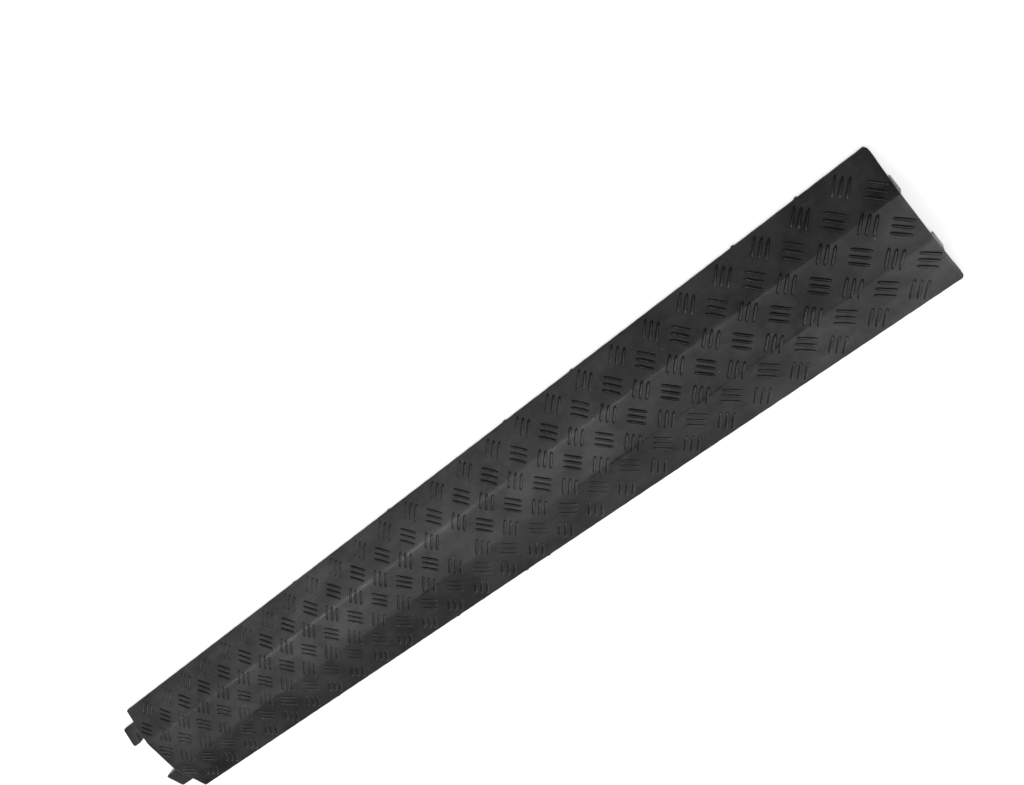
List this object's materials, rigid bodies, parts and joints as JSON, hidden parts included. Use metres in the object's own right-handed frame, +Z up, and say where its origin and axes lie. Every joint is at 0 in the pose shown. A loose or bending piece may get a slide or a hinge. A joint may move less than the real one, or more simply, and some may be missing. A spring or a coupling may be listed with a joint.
{
  "type": "cable protector ramp",
  "caption": "Low drop-over floor ramp with a tread-plate deck, one cable channel underneath, and end hooks and sockets that join ramps in line.",
  "frame": {"origin": "on the floor, at the middle of the width and of the overall length with the hooks", "axes": "+X along the ramp from its hook end to its socket end, +Y to its left side, +Z up"},
  "size_m": [1.0262, 0.13, 0.0182],
  "materials": {
    "deck": "matt black moulded plastic, scuffed grey on the tread deck",
    "wall": "matt black moulded plastic, smooth mould finish",
    "rib": "matt black moulded plastic, smooth mould finish",
    "boss": "matt black moulded plastic, smooth mould finish",
    "post": "matt black moulded plastic, smooth mould finish",
    "hook": "matt black moulded plastic, worn grey on its corners",
    "socket": "matt black moulded plastic, smooth mould finish"
  },
  "bodies": {
    "root": {"crown": "deck", "ramp_left": "deck", "ramp_right": "deck", "channel_wall_left": "wall", "socket_inner_wall_left": "wall", "hook_end_wall_left": "wall", "socket_wall_left": "socket", "socket_catch_left": "socket", "hook_left": "hook", "boss_ring_left_hook_end": "boss", "screw_post_left_hook_end": "post", "boss_ring_left_socket_end": "boss", "screw_post_left_socket_end": "post", "rib_left_01": "rib", "rib_left_02": "rib", "rib_left_03": "rib", "rib_left_04": "rib", "rib_left_05": "rib", "rib_left_06": "rib", "rib_left_07": "rib", "rib_left_08": "rib", "rib_left_09": "rib", "rib_left_10": "rib", "rib_left_11": "rib", "rib_left_12": "rib", "rib_left_13": "rib", "rib_left_14": "rib", "rib_left_15": "rib", "rib_left_16": "rib", "rib_left_17": "rib", "channel_wall_right": "wall", "socket_inner_wall_right": "wall", "hook_end_wall_right": "wall", "socket_wall_right": "socket", "socket_catch_right": "socket", "hook_right": "hook", "boss_ring_right_hook_end": "boss", "screw_post_right_hook_end": "post", "boss_ring_right_socket_end": "boss", "screw_post_right_socket_end": "post", "rib_right_01": "rib", "rib_right_02": "rib", "rib_right_03": "rib", "rib_right_04": "rib", "rib_right_05": "rib", "rib_right_06": "rib", "rib_right_07": "rib", "rib_right_08": "rib", "rib_right_09": "rib", "rib_right_10": "rib", "rib_right_11": "rib", "rib_right_12": "rib", "rib_right_13": "rib", "rib_right_14": "rib", "rib_right_15": "rib", "rib_right_16": "rib", "rib_right_17": "rib"}
  },
  "joints": []
}
